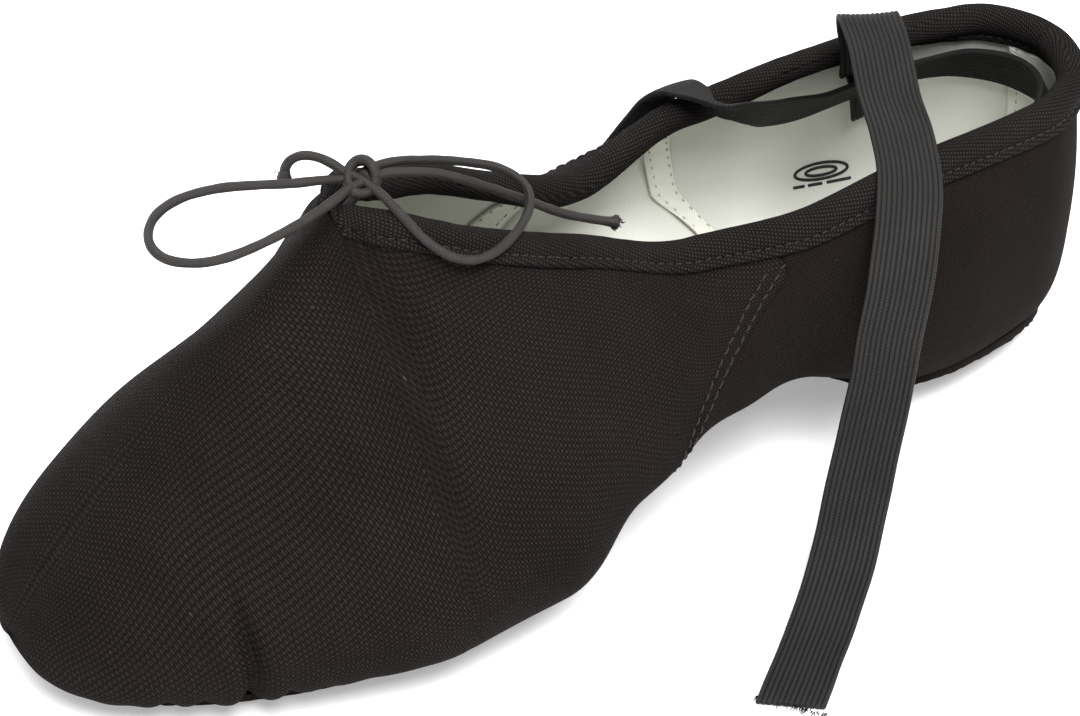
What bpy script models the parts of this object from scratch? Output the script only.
"""Split-sole canvas ballet slipper with a drawstring bow and two elastic straps.

Frame: the origin is the middle of the heel patch's flat underside. +X points to
the toe, +Y to the wearer's left and +Z up. Lengths below are in millimetres and
are scaled to metres when a mesh is made.
"""
import math

import bmesh
import bpy
import numpy as np
from mathutils import Vector

MM = 0.001

# ---- the last: the foot shape that every layer is built on ----
BACK_X = -31.0            # back of the heel
TIP_X = 209.0             # tip of the toe
THROAT_X = 142.0          # front end of the foot opening
# x, half width, bottom height, height of the widest line, top height, lower and upper roundness
STATIONS = (
    (-31.0, 18.0, 3.5, 22.0, 57.0, 2.9, 2.2),
    (0.0, 30.5, 1.2, 22.0, 57.0, 2.9, 2.2),
    (25.0, 34.0, 3.5, 22.0, 57.5, 2.7, 2.2),
    (50.0, 33.0, 12.0, 27.0, 55.5, 2.4, 2.2),
    (75.0, 34.0, 17.5, 29.0, 54.5, 2.3, 2.1),
    (100.0, 39.5, 10.0, 25.0, 64.0, 2.3, 1.8),
    (120.0, 46.0, 2.0, 20.5, 74.0, 2.6, 1.5),
    (142.0, 46.5, 1.2, 18.0, 82.5, 2.9, 1.15),
    (160.0, 41.5, 1.2, 16.0, 66.0, 2.9, 1.2),
    (185.0, 32.7, 1.2, 14.5, 44.5, 2.9, 1.55),
    (209.0, 26.0, 2.0, 13.0, 24.0, 2.8, 2.1),
)
# x, half width of the foot opening as a share of the half width there
OPENING = (
    (-31.0, 0.93), (-25.0, 0.90), (-15.0, 0.72), (0.0, 0.62), (25.0, 0.57), (50.0, 0.59),
    (75.0, 0.42), (95.0, 0.305), (115.0, 0.255), (130.0, 0.18), (138.0, 0.10), (142.0, 0.0),
)
HEEL_ROUND = (27.0, 2.2)      # length and roundness of the heel's plan curve
TOE_ROUND = (40.0, 2.3)       # the same for the toe's plan curve
TOE_DROP = (26.0, 2.2)        # the same for the toe's side curve
HEEL_LIFT = (13.0, 2.2)       # the same for the curve up from the sole at the back of the heel
RIDGE_RADIUS = 3.5            # rounding of the vamp's ridge
HEEL_LEAN = (6.0, 20.0, 50.0, 25.0, 35.0)   # shear: amount, where it starts, run, height, rise

# ---- layers, as distances from the canvas's outer face (outwards is positive) ----
CANVAS = (0.0, -0.9)
LINING = (-1.3, -1.9)
TAPE = (-2.5, -3.0)
BACK_TAPE = (-2.8, -3.3)
INSOLE = (-2.7, -4.0)
SOLE_PATCH = (1.7, 0.8)
BINDING_OUT = (1.3, 0.6)
BINDING_IN = (-2.5, -3.2)
GAP = 0.3                     # clearance between pieces that touch

# ---- seams, casing and trims ----
# share of the way up the section from sole to topline, x of the side seam
SIDE_SEAM = (
    (0.0, 90.0), (0.35, 90.0), (0.5, 89.0), (0.6, 84.5), (0.8, 69.5), (0.87, 63.2),
    (0.905, 60.4), (1.0, 60.0),
)
BINDING_HEIGHT = 6.5
BINDING_THICK = 0.7
EDGE_DEPTH = 3.8              # canvas and lining stop this far under the casing's top
TAPE_TOP_DEPTH = 7.8          # inner tapes stop under the casing
CASING_SHOULDER = 1.4         # depth where the casing's legs begin to round over
CROWN_HALF = 1.0              # half the width of the casing's flat crown
CASING_FRONT_X = 138.8        # where the casing's two front ends stop
EDGE_FRONT_X = 139.8          # canvas and lining are trimmed back as far as here
CORD_DIAMETER = 1.7
CORD_STEP = 4.0               # distance between the points of a cord
CORD_DEPTH = 2.1              # drawstring's middle under the casing's top
CORD_OFFSET = -0.9            # drawstring's middle from the canvas's outer face
SEAM_TAPE_WIDTH = 7.5
SEAM_TAPE_LOW = 0.30          # share up the section where the side tapes start
BACK_TAPE_LOW = 0.45          # the same for the back tape
BACK_TAPE_WRAP = 3.2          # how far forward the back tape's edges reach round the heel
# lower and upper end (x, share) of the heel lining tapes' rear edge, and their width
HEEL_TAPE = ((38.0, 0.36), (49.0, 0.80), 6.5)
STRAP_WIDTH = 13.5
STRAP_THICK = 1.0
HEEL_PATCH = (-25.5, 44.0, 0.40)      # back end, front end, how far up the section its side reaches
FORE_PATCH = (104.0, 200.0, 0.27)
HEEL_INSOLE = (-23.0, 62.0, 0.33)
FORE_INSOLE = (99.0, 199.0, 0.24)
PATCH_ROUND = 2.6             # roundness of the patches' outline
ARCH_HINGE = (90.0, 0.0, 12.5)        # the shoe bends here, just under the side seams' lowest point

# ---- mesh density ----
SECTION_CELLS = 11            # from under the sole to the topline or ridge
OPENING_CELLS = 12            # from the side seam to the throat
TOE_CELLS = 9                 # from the throat to the tip
QUARTER_CELLS = 12            # from the back seam to the side seam
PATCH_GRID = (13, 9)          # rows along and columns across an underfoot patch
TAPE_GRID = (11, 3)           # the same for the side tapes
BACK_TAPE_GRID = (9, 7)
ROUTE_SAMPLES = 12            # samples between two points of a route
BALL_SEGMENTS = 12
BALL_RINGS = 8
MERGE_DISTANCE = 2e-6         # metres
SHARP_ANGLE = 40.0            # degrees

# ---- routes, chosen by hand: x, y, z ----
KNOT_CENTRE = (135.6, 1.0, 85.2)
KNOT_RADII = (3.5, 3.3, 2.9)
TIP_RADII = (1.3, 1.3, 1.7)           # the last one is along the cord
LEFT_LOOP = (
    (139.3, 0.2, 85.6), (143.5, -0.4, 86.6), (148.5, -1.6, 87.2), (154.0, -4.2, 87.4),
    (160.0, -7.0, 87.3), (166.5, -8.3, 87.0), (171.8, -7.3, 86.4), (175.2, -4.2, 85.8),
    (176.4, -0.4, 85.2), (175.2, 3.2, 84.7), (171.4, 6.0, 84.3), (166.5, 7.3, 84.2),
    (160.5, 7.4, 84.3), (153.5, 6.6, 84.5), (147.0, 5.2, 84.7), (141.6, 3.4, 84.8),
    (139.0, 2.3, 84.9),
)
RIGHT_LOOP = (
    (131.8, 0.2, 85.6), (127.5, 0.4, 85.0), (123.5, 0.2, 83.4), (118.5, 0.3, 81.4),
    (113.4, 0.8, 79.2), (109.0, 1.9, 77.2), (106.2, 4.0, 75.4), (105.4, 6.9, 73.9),
    (107.0, 10.0, 72.9), (110.6, 13.2, 72.6), (115.2, 16.0, 72.6), (119.8, 17.8, 72.9),
    (124.0, 18.3, 73.7), (127.8, 17.2, 75.4), (130.8, 14.4, 78.0), (132.7, 10.6, 80.9),
    (134.0, 6.6, 83.2), (134.6, 4.9, 84.0),
)
RIGHT_TAIL = (
    (131.9, 2.6, 85.4), (128.0, 3.3, 84.6), (122.5, 4.0, 82.6), (116.5, 4.9, 79.0),
    (110.5, 5.6, 74.8), (104.5, 6.6, 70.6), (98.5, 7.8, 66.4), (93.0, 9.0, 63.6),
    (88.6, 10.0, 61.7),
)
LEFT_TAIL = (
    (138.8, -0.9, 86.6), (140.6, -2.9, 88.2), (142.8, -5.0, 89.4), (145.2, -7.0, 89.6),
    (147.2, -8.6, 88.3), (148.3, -9.5, 86.0), (148.5, -9.7, 83.9),
)
# x, y, z of the middle line, then the direction of the strap's width
FRONT_STRAP = (
    ((6.0, -15.2, 57.4), (0.96, -0.20, 0.0)),
    ((6.4, -15.2, 60.0), (0.96, -0.22, 0.0)),
    ((7.2, -14.8, 62.8), (0.95, -0.26, 0.0)),
    ((9.2, -12.8, 65.4), (0.94, -0.32, 0.0)),
    ((12.8, -8.6, 66.4), (0.92, -0.38, 0.0)),
    ((17.8, -2.2, 65.8), (0.89, -0.45, 0.0)),
    ((24.2, 7.2, 63.3), (0.86, -0.50, 0.0)),
    ((28.7, 15.6, 60.7), (0.85, -0.53, 0.0)),
    ((33.1, 24.9, 58.1), (0.84, -0.54, 0.0)),
    ((39.6, 33.3, 54.0), (0.83, -0.55, 0.0)),
    ((45.6, 40.4, 47.8), (0.83, -0.55, 0.0)),
    ((49.8, 44.4, 40.8), (0.83, -0.55, 0.0)),
    ((52.8, 47.0, 32.5), (0.82, -0.57, 0.0)),
    ((56.6, 49.6, 22.3), (0.80, -0.60, 0.0)),
    ((61.2, 53.0, 12.6), (0.77, -0.64, 0.0)),
    ((67.8, 58.5, 5.2), (0.72, -0.69, 0.0)),
    ((77.0, 65.6, 1.7), (0.68, -0.73, 0.0)),
    ((86.0, 72.3, 0.9), (0.66, -0.75, 0.0)),
    ((94.5, 78.6, 0.9), (0.66, -0.75, 0.0)),
)
REAR_STRAP = (
    ((0.0, 19.6, 42.6), (0.0, -0.50, 0.87)),
    ((-8.0, 17.0, 42.8), (0.05, -0.48, 0.87)),
    ((-14.0, 13.0, 43.0), (0.18, -0.42, 0.88)),
    ((-18.6, 7.4, 43.0), (0.34, -0.22, 0.91)),
    ((-20.6, 0.6, 42.8), (0.42, 0.0, 0.91)),
    ((-18.8, -6.6, 42.6), (0.36, 0.28, 0.88)),
    ((-13.8, -12.6, 42.4), (0.22, 0.48, 0.85)),
    ((-7.0, -16.2, 42.0), (0.10, 0.58, 0.81)),
    ((1.0, -18.4, 41.6), (0.05, 0.60, 0.80)),
    ((10.0, -19.4, 41.8), (0.0, 0.60, 0.80)),
    ((19.0, -19.4, 43.0), (0.0, 0.58, 0.81)),
    ((27.5, -17.6, 46.0), (0.05, 0.55, 0.83)),
    ((35.0, -14.6, 50.4), (0.10, 0.52, 0.80)),
    ((41.6, -12.4, 55.0), (0.20, 0.50, 0.75)),
    ((47.2, -12.2, 58.4), (0.35, 0.45, 0.65)),
    ((51.6, -14.2, 60.6), (0.60, 0.35, 0.45)),
    ((54.6, -18.0, 61.4), (0.85, 0.15, 0.25)),
    ((56.4, -22.2, 60.2), (0.97, 0.0, 0.10)),
    ((57.4, -25.8, 56.8), (1.0, 0.0, 0.0)),
    ((58.0, -29.4, 51.4), (1.0, 0.0, 0.0)),
    ((58.5, -33.0, 44.6), (1.0, 0.0, 0.0)),
    ((58.9, -35.8, 37.4), (1.0, 0.0, 0.0)),
    ((59.1, -37.2, 30.0), (1.0, 0.0, 0.0)),
    ((59.2, -37.8, 23.0), (1.0, 0.0, 0.0)),
    ((59.3, -38.0, 16.5), (1.0, 0.0, 0.0)),
)
# x and share up the right wall of the front strap's sewn end, and how far inside the wall it lies
FRONT_TAB = ((4.0, 0.66), (4.8, 0.78), (5.4, 0.88), (5.7, 0.95), (6.0, 1.0))
FRONT_TAB_OFFSET = -4.7
FRONT_TAB_WIDTH = (0.98, -0.1, 0.0)   # direction of the strap's width there
FRONT_FOLD = (12.0, -9.6, 67.1)       # hinge point over the front strap, where its free length starts
REAR_FOLD = (50.0, -13.2, 59.9)       # the same for the rear strap
FOLD_GAP = 0.7                        # each part of a strap stops this far from the fold
STRAP_STEP = 4.0                      # distance between a strap's cross-sections

# ---- colours: red, green, blue in linear light ----
BLACK_CANVAS = (0.022, 0.018, 0.018)
BLACK_TWILL = (0.018, 0.016, 0.015)
BLACK_ELASTIC = (0.034, 0.032, 0.032)
BLACK_SUEDE = (0.020, 0.016, 0.014)
WHITE_COTTON = (0.62, 0.61, 0.55)
CREAM_TAPE = (0.74, 0.74, 0.66)

# material's name, colour and roughness for each kind of cloth
MATERIALS = {
    "canvas": ("black_canvas", BLACK_CANVAS, 0.85),
    "lining": ("white_cotton", WHITE_COTTON, 0.9),
    "insole": ("insole_cotton", WHITE_COTTON, 0.8),
    "tape": ("cream_tape", CREAM_TAPE, 0.85),
    "suede": ("black_suede", BLACK_SUEDE, 0.95),
    "casing": ("black_twill", BLACK_TWILL, 0.8),
    "cord": ("black_cord", BLACK_ELASTIC, 0.6),
    "elastic": ("black_elastic", BLACK_ELASTIC, 0.65),
}


def remove_everything():
    for item in list(bpy.data.objects):
        bpy.data.objects.remove(item, do_unlink=True)


def material(name, colour, roughness):
    mat = bpy.data.materials.new(name)
    mat.use_nodes = True
    shader = mat.node_tree.nodes["Principled BSDF"]
    shader.inputs["Base Color"].default_value = (*colour, 1.0)
    shader.inputs["Roughness"].default_value = roughness
    shader.inputs["Metallic"].default_value = 0.0
    return mat


def smooth_curve(xs, ys, x):
    """Monotone cubic through the points (xs, ys)."""
    xs = np.asarray(xs, float)
    ys = np.asarray(ys, float)
    x = np.clip(np.asarray(x, float), xs[0], xs[-1])
    run = np.diff(xs)
    slope = np.diff(ys) / run
    tangent = np.zeros_like(ys)
    tangent[0] = slope[0]
    tangent[-1] = slope[-1]
    for i in range(1, len(xs) - 1):
        if slope[i - 1] * slope[i] > 0:
            before = 2 * run[i] + run[i - 1]
            after = run[i] + 2 * run[i - 1]
            tangent[i] = (before + after) / (before / slope[i - 1] + after / slope[i])
    i = np.clip(np.searchsorted(xs, x, side="right") - 1, 0, len(run) - 1)
    t = (x - xs[i]) / run[i]
    start = (2 * t**3 - 3 * t**2 + 1) * ys[i] + (t**3 - 2 * t**2 + t) * run[i] * tangent[i]
    end = (3 * t**2 - 2 * t**3) * ys[i + 1] + (t**3 - t**2) * run[i] * tangent[i + 1]
    return start + end


def round_end(distance, length, power):
    """1 away from an end, falling to 0 at it along a rounded curve."""
    part = np.clip(distance / length, 0.0, 1.0)
    return (1.0 - part**power) ** (1.0 / power)


def last_surface(x, share, side=1.0):
    """Point of the canvas's outer face: share 0 is under the sole, 1 the topline or ridge."""
    x, share = np.broadcast_arrays(np.asarray(x, float), np.asarray(share, float))
    table = np.array(STATIONS)
    columns = [smooth_curve(table[:, 0], table[:, k], x) for k in range(1, 7)]
    half, bottom, middle, top, low_round, up_round = columns
    heel = round_end(HEEL_ROUND[0] - (x - BACK_X), *HEEL_ROUND)
    toe = round_end(TOE_ROUND[0] - (TIP_X - x), *TOE_ROUND)
    drop = round_end(TOE_DROP[0] - (TIP_X - x), *TOE_DROP)
    half = np.maximum(half * heel * toe, 1e-6)
    top = middle + (top - middle) * drop
    lift = round_end(HEEL_LIFT[0] - (x - BACK_X), *HEEL_LIFT)
    bottom = middle - (middle - bottom) * drop * np.maximum(lift, 0.02)
    opening = np.array(OPENING)
    mouth = half * smooth_curve(opening[:, 0], opening[:, 1], x)
    mouth = np.where(x < THROAT_X, mouth, 0.0)
    rounded = np.sqrt(half**2 + RIDGE_RADIUS**2) - RIDGE_RADIUS
    cut = (np.sqrt(mouth**2 + RIDGE_RADIUS**2) - RIDGE_RADIUS) / rounded
    full = middle + (top - middle) / (1.0 - cut**up_round) ** (1.0 / up_round)
    last_angle = np.arccos(cut ** (up_round / 2.0))
    angle = -math.pi / 2 + share * (last_angle + math.pi / 2)
    cosine = np.abs(np.cos(angle))
    sine = np.abs(np.sin(angle))
    upper = cosine ** (2.0 / up_round) * rounded + RIDGE_RADIUS
    upper_y = np.sqrt(np.maximum(upper**2 - RIDGE_RADIUS**2, 0.0))
    lower_y = half * cosine ** (2.0 / low_round)
    y = np.where(angle < 0, lower_y, upper_y)
    lower_z = middle - (middle - bottom) * sine ** (2.0 / low_round)
    upper_z = middle + (full - middle) * sine ** (2.0 / up_round)
    z = np.where(angle < 0, lower_z, upper_z)
    amount, start, run, height, rise = HEEL_LEAN
    weight = np.clip((start - x) / run, 0.0, 1.0) ** 2
    tilt = np.clip((z - height) / rise, -1.0, 1.2)
    return np.stack([x + weight * amount * tilt * np.abs(tilt), y * side, z], axis=-1)


def last_normal(x, share, side=1.0):
    """Outward normal of the canvas's outer face."""
    x, share = np.broadcast_arrays(np.asarray(x, float), np.asarray(share, float))
    step_x, step_s = 0.4, 0.004
    x0 = np.clip(x - step_x, BACK_X, TIP_X)
    x1 = np.clip(x + step_x, BACK_X, TIP_X)
    s0 = np.clip(share - step_s, 0.0, 1.0)
    s1 = np.clip(share + step_s, 0.0, 1.0)
    along = last_surface(x1, share) - last_surface(x0, share)
    up = last_surface(x, s1) - last_surface(x, s0)
    normal = np.cross(up, along)
    length = np.linalg.norm(normal, axis=-1, keepdims=True)
    normal = normal / np.maximum(length, 1e-12)
    on_middle = np.abs(last_surface(x, share)[..., 1]) < 1e-3
    normal[..., 1] = np.where(on_middle, 0.0, normal[..., 1])
    normal = np.where((x >= TIP_X - 1e-6)[..., None], np.array([1.0, 0.0, 0.0]), normal)
    normal = normal / np.maximum(np.linalg.norm(normal, axis=-1, keepdims=True), 1e-12)
    normal[..., 1] *= side
    return normal


def layer_point(x, share, offset, side=1.0):
    return last_surface(x, share, side) + last_normal(x, share, side) * offset


def share_at_depth(x, depth):
    """Share of the section that lies the given depth under the topline, measured along the wall."""
    shares = np.linspace(1.0, 0.6, 81)
    result = []
    for value in np.atleast_1d(x):
        points = last_surface(value, shares)
        steps = np.linalg.norm(np.diff(points, axis=0), axis=1)
        result.append(np.interp(depth, np.concatenate([[0.0], np.cumsum(steps)]), shares))
    return np.array(result)


def seam_x(share):
    table = np.array(SIDE_SEAM)
    return smooth_curve(table[:, 0], table[:, 1], share)


def make_object(name, vertices, faces, mat, origin=(0.0, 0.0, 0.0), smooth=True):
    """Mesh object from points in millimetres, with its origin at the given point."""
    origin = np.array(origin, float)
    mesh = bpy.data.meshes.new(name)
    points = (np.asarray(vertices, float) - origin) * MM
    mesh.from_pydata(points.tolist(), [], faces)
    shape = bmesh.new()
    shape.from_mesh(mesh)
    bmesh.ops.remove_doubles(shape, verts=shape.verts, dist=MERGE_DISTANCE)
    bmesh.ops.dissolve_degenerate(shape, dist=MERGE_DISTANCE, edges=shape.edges)
    bmesh.ops.recalc_face_normals(shape, faces=shape.faces)
    shape.to_mesh(mesh)
    shape.free()
    mesh.materials.append(mat)
    if smooth:
        mesh.shade_smooth()
        mesh.set_sharp_from_angle(angle=math.radians(SHARP_ANGLE))
    item = bpy.data.objects.new(name, mesh)
    item.location = Vector(origin * MM)
    bpy.context.scene.collection.objects.link(item)
    return item


def layered_patch(x, share, side, offsets, flat_bottom=False):
    """Points and triangles of a wall patch between two offsets; x, share and side are grids."""
    rows, columns = x.shape
    layers = []
    for offset in offsets:
        points = last_surface(x, share) + last_normal(x, share) * offset
        points[..., 1] *= side
        if flat_bottom:
            points[..., 2] = np.maximum(points[..., 2], 0.0)
        layers.append(points.reshape(-1, 3))
    vertices = np.concatenate(layers)
    count = rows * columns
    faces = []
    for i in range(rows - 1):
        for j in range(columns - 1):
            a = i * columns + j
            b = a + columns
            for triangle in ((a, b, b + 1), (a, b + 1, a + 1)):
                faces.append(triangle)
                faces.append(tuple(count + k for k in reversed(triangle)))
    edge = [(0, j) for j in range(columns)]
    edge += [(i, columns - 1) for i in range(1, rows)]
    edge += [(rows - 1, j) for j in range(columns - 2, -1, -1)]
    edge += [(i, 0) for i in range(rows - 2, 0, -1)]
    loop = [i * columns + j for i, j in edge]
    return vertices, faces, loop, count


def close_rim(faces, loop, count):
    """Adds the rim between the two layers."""
    for a, b in zip(loop, loop[1:] + loop[:1]):
        faces.append((b, a, count + a, count + b))


def wall_piece(name, x, share, side, offsets, mat, flat_bottom=False):
    vertices, faces, loop, count = layered_patch(x, share, side, offsets, flat_bottom)
    close_rim(faces, loop, count)
    return make_object(name, vertices, faces, mat)


def cosine_steps(count, both_ends=True):
    """0 to 1, closer together at one end or at both."""
    t = np.linspace(0.0, 1.0, count)
    if both_ends:
        return (1.0 - np.cos(math.pi * t)) / 2.0
    return 1.0 - np.cos(math.pi / 2 * t)


def vamp_shell(name, offsets, mat):
    """The one-piece front: both sides, joined under the sole and along the ridge."""
    shares = np.linspace(0.0, 1.0, SECTION_CELLS + 1)
    start = seam_x(shares)[None, :] + GAP / 2
    opening = (np.arange(OPENING_CELLS) / (OPENING_CELLS - 1))[:, None]
    first = start + (EDGE_FRONT_X - start) * opening
    toe = np.sin(np.linspace(0.0, math.pi / 2, TOE_CELLS + 1))[:, None]
    second = THROAT_X + (TIP_X - THROAT_X) * toe + 0.0 * start
    x = np.concatenate([first, second])
    top = np.ones(len(x))
    top[:OPENING_CELLS] = share_at_depth(x[:OPENING_CELLS, -1], EDGE_DEPTH)
    share = shares[None, :] * top[:, None]
    rows, columns = x.shape
    halves = []
    for side in (1.0, -1.0):
        halves.append(layered_patch(x, share, side, offsets))
    vertices = np.concatenate([halves[0][0], halves[1][0]])
    shift = len(halves[0][0])
    faces = []
    for index, (_, half_faces, _, count) in enumerate(halves):
        base = index * shift
        faces += [tuple(base + k for k in face) for face in half_faces]
        for j in range(columns - 1):
            faces.append((base + j, base + j + 1, base + count + j + 1, base + count + j))
        for i in range(OPENING_CELLS):
            a = base + i * columns + columns - 1
            b = a + columns
            faces.append((a, b, count + b, count + a))
    return make_object(name, vertices, faces, mat)


def quarter_shell(name, side, offsets, mat):
    """One rear side, from the back seam to the side seam."""
    shares = np.linspace(0.0, 1.0, SECTION_CELLS + 1)
    t = cosine_steps(QUARTER_CELLS + 1, both_ends=False)
    end = seam_x(shares)[None, :] - GAP / 2
    x = BACK_X + (end - BACK_X) * t[:, None]
    top = share_at_depth(np.maximum(x[:, -1], BACK_X + 0.5), EDGE_DEPTH)
    share = shares[None, :] * top[:, None]
    vertices, faces, loop, count = layered_patch(x, share, 1.0, offsets)
    vertices[:, 1] = np.maximum(vertices[:, 1], GAP / 2)
    vertices[:, 1] *= side
    close_rim(faces, loop, count)
    return make_object(name, vertices, faces, mat)


def underfoot_patch(name, size, offsets, mat, flat_bottom=False):
    """A patch with an oval outline that lies across the underside or inside on it."""
    start, end, reach = size
    rows, columns = PATCH_GRID
    along = cosine_steps(rows)
    x = start + (end - start) * along
    width = reach * round_end(np.abs(2 * along - 1), 1.0, PATCH_ROUND)
    across = np.linspace(-1.0, 1.0, columns)
    share = np.abs(across)[None, :] * width[:, None]
    side = np.where(across < 0, -1.0, 1.0)[None, :] + 0.0 * share
    grid_x = x[:, None] + 0.0 * share
    return wall_piece(name, grid_x, share, side, offsets, mat, flat_bottom)


def tape_strip(name, side, lower, upper, width, mat, offsets=TAPE):
    """A straight strip inside the wall between two (x, share) points of its rear edge."""
    rows, columns = TAPE_GRID
    t = np.linspace(0.0, 1.0, rows)[:, None]
    u = np.linspace(0.0, 1.0, columns)[None, :]
    x = lower[0] + (upper[0] - lower[0]) * t + width * u
    share = lower[1] + (upper[1] - lower[1]) * t + 0.0 * u
    side_grid = side + 0.0 * x
    return wall_piece(name, x, share, side_grid, offsets, mat)


def side_seam_tape(name, side, mat):
    """Tape inside the side seam, along its front edge."""
    rows, columns = TAPE_GRID
    top = share_at_depth(seam_x(1.0) + SEAM_TAPE_WIDTH / 2, TAPE_TOP_DEPTH)[0]
    share = np.linspace(SEAM_TAPE_LOW, top, rows)[:, None]
    across = np.linspace(0.0, 1.0, columns)[None, :]
    x = seam_x(share) + GAP + SEAM_TAPE_WIDTH * across
    share = share + 0.0 * across
    return wall_piece(name, x, share, side + 0.0 * x, TAPE, mat)


def back_seam_tape(name, mat):
    """Tape inside the back seam, wrapped round the heel."""
    rows, columns = BACK_TAPE_GRID
    across = np.linspace(-1.0, 1.0, columns)
    x_line = BACK_X + BACK_TAPE_WRAP * across**2
    top = share_at_depth(x_line + 0.5, TAPE_TOP_DEPTH)
    t = np.linspace(0.0, 1.0, rows)[:, None]
    share = BACK_TAPE_LOW + (top[None, :] - BACK_TAPE_LOW) * t
    x = x_line[None, :] + 0.0 * share
    side = np.where(across < 0, -1.0, 1.0)[None, :] + 0.0 * x
    return wall_piece(name, x, share, side, BACK_TAPE, mat)


def casing_ring(x, side):
    """One cross-section of the folded casing: out leg, crown and in leg."""
    low = share_at_depth(x, BINDING_HEIGHT)[0]
    shoulder = share_at_depth(x, CASING_SHOULDER)[0]
    under = share_at_depth(x, BINDING_THICK)[0]
    out_face, out_back = BINDING_OUT
    in_back, in_face = BINDING_IN
    middle = (out_face + in_face) / 2
    ring = [
        layer_point(x, low, out_face, side),
        layer_point(x, shoulder, out_face, side),
        layer_point(x, 1.0, middle + CROWN_HALF, side),
        layer_point(x, 1.0, middle - CROWN_HALF, side),
        layer_point(x, shoulder, in_face, side),
        layer_point(x, low, in_face, side),
        layer_point(x, low, in_back, side),
        layer_point(x, under, in_back, side),
        layer_point(x, under, out_back, side),
        layer_point(x, low, out_back, side),
    ]
    return np.array(ring)


def loft(name, rings, mat, origin=(0.0, 0.0, 0.0)):
    """Skin over a run of rings with a flat cap at each end."""
    count = len(rings[0])
    vertices = np.concatenate(rings)
    faces = []
    for i in range(len(rings) - 1):
        for j in range(count):
            a = i * count + j
            b = i * count + (j + 1) % count
            faces.append((a, b, b + count, a + count))
    faces.append(tuple(range(count - 1, -1, -1)))
    faces.append(tuple(range(len(vertices) - count, len(vertices))))
    return make_object(name, vertices, faces, mat, origin)


def casing_front_stations():
    start = seam_x(1.0) + GAP / 2
    xs = start + (EDGE_FRONT_X - start) * np.arange(OPENING_CELLS) / (OPENING_CELLS - 1)
    xs[-1] = CASING_FRONT_X
    return xs


def casing_rear_stations():
    """x along the rear topline and the side it is on, from the right side seam round to the left."""
    t = np.linspace(-1.0, 1.0, 2 * QUARTER_CELLS + 1)
    end = seam_x(1.0) - GAP / 2
    xs = BACK_X + (end - BACK_X) * (1.0 - np.cos(math.pi / 2 * np.abs(t)))
    return xs, np.where(t < 0, -1.0, 1.0)


def casing_front(name, side, mat):
    rings = [casing_ring(x, side) for x in casing_front_stations()]
    return loft(name, rings, mat)


def casing_rear(name, mat):
    rings = [casing_ring(x, side) for x, side in zip(*casing_rear_stations())]
    return loft(name, rings, mat)


def route_curve(points):
    """A smooth curve through the route's points, as rows that end in its direction, and its reach."""
    points = np.array(points, float)
    padded = np.vstack([2 * points[0] - points[1], points, 2 * points[-1] - points[-2]])
    dense = []
    for i in range(1, len(padded) - 2):
        p0, p1, p2, p3 = padded[i - 1:i + 3]
        for t in np.linspace(0.0, 1.0, ROUTE_SAMPLES, endpoint=False):
            bend = (2 * p0 - 5 * p1 + 4 * p2 - p3) * t**2 + (3 * p1 - p0 - 3 * p2 + p3) * t**3
            dense.append(0.5 * (2 * p1 + (p2 - p0) * t + bend))
    dense.append(padded[-2])
    dense = np.array(dense)
    steps = np.linalg.norm(np.diff(dense[:, :3], axis=0), axis=1)
    reach = np.concatenate([[0.0], np.cumsum(steps)])
    tangents = np.gradient(dense[:, :3], reach, axis=0)
    return np.hstack([dense, tangents]), reach


def read_curve(dense, reach, start, end, spacing):
    """Evenly spaced points of a curve between two distances along it."""
    count = max(3, int(round((end - start) / spacing)) + 1)
    at = np.linspace(start, end, count)
    return np.stack([np.interp(at, reach, column) for column in dense.T], axis=-1)


def cord(name, route, spacing, mat):
    """A round cord along a smooth curve through its route's points."""
    dense, reach = route_curve(route)
    return tube(name, read_curve(dense, reach, 0.0, reach[-1], spacing)[:, :3], mat)


def tube(name, points, mat):
    """A bevelled curve with filled ends through the given points."""
    curve = bpy.data.curves.new(name, "CURVE")
    curve.dimensions = "3D"
    curve.bevel_depth = CORD_DIAMETER / 2 * MM
    curve.bevel_resolution = 2
    curve.use_fill_caps = True
    spline = curve.splines.new("POLY")
    spline.points.add(len(points) - 1)
    for point, place in zip(spline.points, points):
        point.co = (*(np.asarray(place) * MM), 1.0)
    curve.materials.append(mat)
    item = bpy.data.objects.new(name, curve)
    bpy.context.scene.collection.objects.link(item)
    return item


def casing_cord(name, xs, sides, mat):
    """Drawstring inside the casing, through the given stations."""
    route = []
    for x, side in zip(xs, sides):
        share = share_at_depth(x, CORD_DEPTH)[0]
        route.append(layer_point(x, share, CORD_OFFSET, side))
    return tube(name, route, mat)


def strap(name, line, mat, origin=(0.0, 0.0, 0.0)):
    """A flat elastic strap along its middle line, turned by its width directions."""
    rings = []
    for centre, width, tangent in zip(line[:, :3], line[:, 3:6], line[:, 6:]):
        tangent = tangent / np.linalg.norm(tangent)
        width = width - tangent * width.dot(tangent)
        width /= np.linalg.norm(width)
        normal = np.cross(tangent, width)
        across = width * STRAP_WIDTH / 2
        through = normal * STRAP_THICK / 2
        rings.append(np.array([centre + across + through, centre - across + through,
                               centre - across - through, centre + across - through]))
    return loft(name, rings, mat, origin)


def strap_pair(fixed_name, free_name, stations, fold, mat):
    """One strap as two solids: the run that is held, and the free length that swings at the fold."""
    rows = [(*centre, *width) for centre, width in stations]
    dense, reach = route_curve(rows)
    distance = np.linalg.norm(dense[:, :3] - np.array(fold), axis=1)
    cut = reach[distance.argmin()]
    held = read_curve(dense, reach, 0.0, cut - FOLD_GAP, STRAP_STEP)
    free = read_curve(dense, reach, cut + FOLD_GAP, reach[-1], STRAP_STEP)
    strap(fixed_name, held, mat)
    strap(free_name, free, mat, fold)


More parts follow.
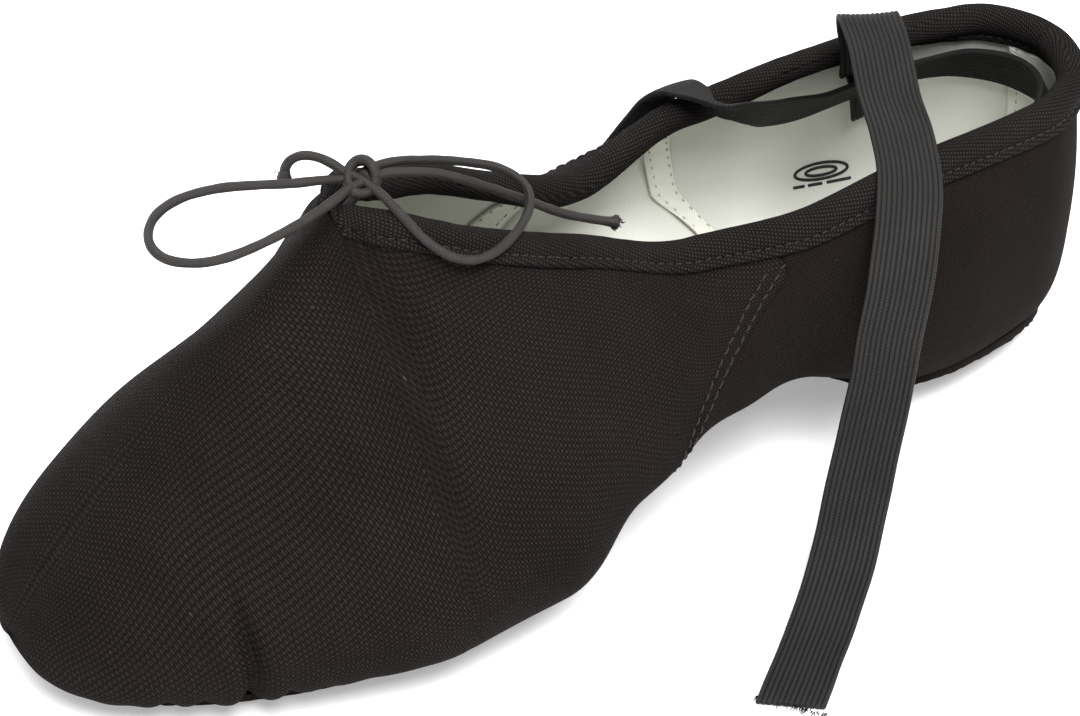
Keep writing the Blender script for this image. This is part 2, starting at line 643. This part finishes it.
def ball(name, centre, radii, mat, axis=(0.0, 0.0, 1.0)):
    """An ellipsoid with its third radius along the axis."""
    mesh = bpy.data.meshes.new(name)
    shape = bmesh.new()
    bmesh.ops.create_uvsphere(shape, u_segments=BALL_SEGMENTS, v_segments=BALL_RINGS, radius=1.0)
    turn = Vector((0.0, 0.0, 1.0)).rotation_difference(Vector(axis))
    for vertex in shape.verts:
        scaled = Vector((vertex.co.x * radii[0], vertex.co.y * radii[1], vertex.co.z * radii[2]))
        vertex.co = (turn @ scaled) * MM
    shape.to_mesh(mesh)
    shape.free()
    mesh.materials.append(mat)
    mesh.shade_smooth()
    item = bpy.data.objects.new(name, mesh)
    item.location = Vector(centre) * MM
    bpy.context.scene.collection.objects.link(item)
    return item


def cord_tip(name, route, mat):
    """The melted knob on a cord's end."""
    end = np.array(route[-1])
    direction = end - np.array(route[-2])
    direction /= np.linalg.norm(direction)
    centre = end + direction * (TIP_RADII[2] + GAP)
    return ball(name, tuple(centre), TIP_RADII, mat, tuple(direction))


def build_forefoot(mats):
    vamp_shell("vamp_canvas", CANVAS, mats["canvas"])
    vamp_shell("vamp_lining", LINING, mats["lining"])
    underfoot_patch("forefoot_sole", FORE_PATCH, SOLE_PATCH, mats["suede"], flat_bottom=True)
    underfoot_patch("forefoot_insole", FORE_INSOLE, INSOLE, mats["insole"])
    for word, side in (("left", 1.0), ("right", -1.0)):
        casing_front(f"casing_front_{word}", side, mats["casing"])
        side_seam_tape(f"side_seam_tape_{word}", side, mats["tape"])
        xs = casing_front_stations()
        casing_cord(f"drawstring_front_{word}", xs, [side] * len(xs), mats["cord"])


def build_heel(mats):
    for word, side in (("left", 1.0), ("right", -1.0)):
        quarter_shell(f"quarter_canvas_{word}", side, CANVAS, mats["canvas"])
        quarter_shell(f"quarter_lining_{word}", side, LINING, mats["lining"])
        tape_strip(f"heel_lining_tape_{word}", side, *HEEL_TAPE, mats["tape"])
    underfoot_patch("heel_sole", HEEL_PATCH, SOLE_PATCH, mats["suede"], flat_bottom=True)
    underfoot_patch("heel_insole", HEEL_INSOLE, INSOLE, mats["insole"])
    back_seam_tape("back_seam_tape", mats["tape"])
    casing_rear("casing_rear", mats["casing"])
    casing_cord("drawstring_rear", *casing_rear_stations(), mats["cord"])


def build_straps(mats):
    tab = []
    for x, share in FRONT_TAB:
        place = layer_point(x, share, FRONT_TAB_OFFSET, -1.0)
        tab.append((tuple(place), FRONT_TAB_WIDTH))
    front = tab + list(FRONT_STRAP)
    strap_pair("strap_front_sewn_end", "strap_front_free", front, FRONT_FOLD, mats["elastic"])
    strap_pair("strap_rear_sewn_run", "strap_rear_free", REAR_STRAP, REAR_FOLD, mats["elastic"])


def build_bow(mats):
    ball("bow_knot", KNOT_CENTRE, KNOT_RADII, mats["cord"])
    routes = {"left_loop": LEFT_LOOP, "right_loop": RIGHT_LOOP,
              "left_tail": LEFT_TAIL, "right_tail": RIGHT_TAIL}
    for word, route in routes.items():
        cord(f"bow_{word}", route, CORD_STEP, mats["cord"])
    cord_tip("cord_tip_left", LEFT_TAIL, mats["cord"])
    cord_tip("cord_tip_right", RIGHT_TAIL, mats["cord"])


def hang_from_hinge(names):
    """Parents the heel's pieces to an empty on the arch hinge, without moving them."""
    hinge = bpy.data.objects.new("arch_hinge", None)
    hinge.location = Vector(ARCH_HINGE) * MM
    bpy.context.scene.collection.objects.link(hinge)
    bpy.context.view_layer.update()
    for name in names:
        item = bpy.data.objects[name]
        item.parent = hinge
        item.matrix_parent_inverse = hinge.matrix_world.inverted()


def main():
    remove_everything()
    mats = {key: material(*values) for key, values in MATERIALS.items()}
    build_heel(mats)
    build_straps(mats)
    hang_from_hinge([item.name for item in bpy.data.objects])
    build_forefoot(mats)
    build_bow(mats)


main()
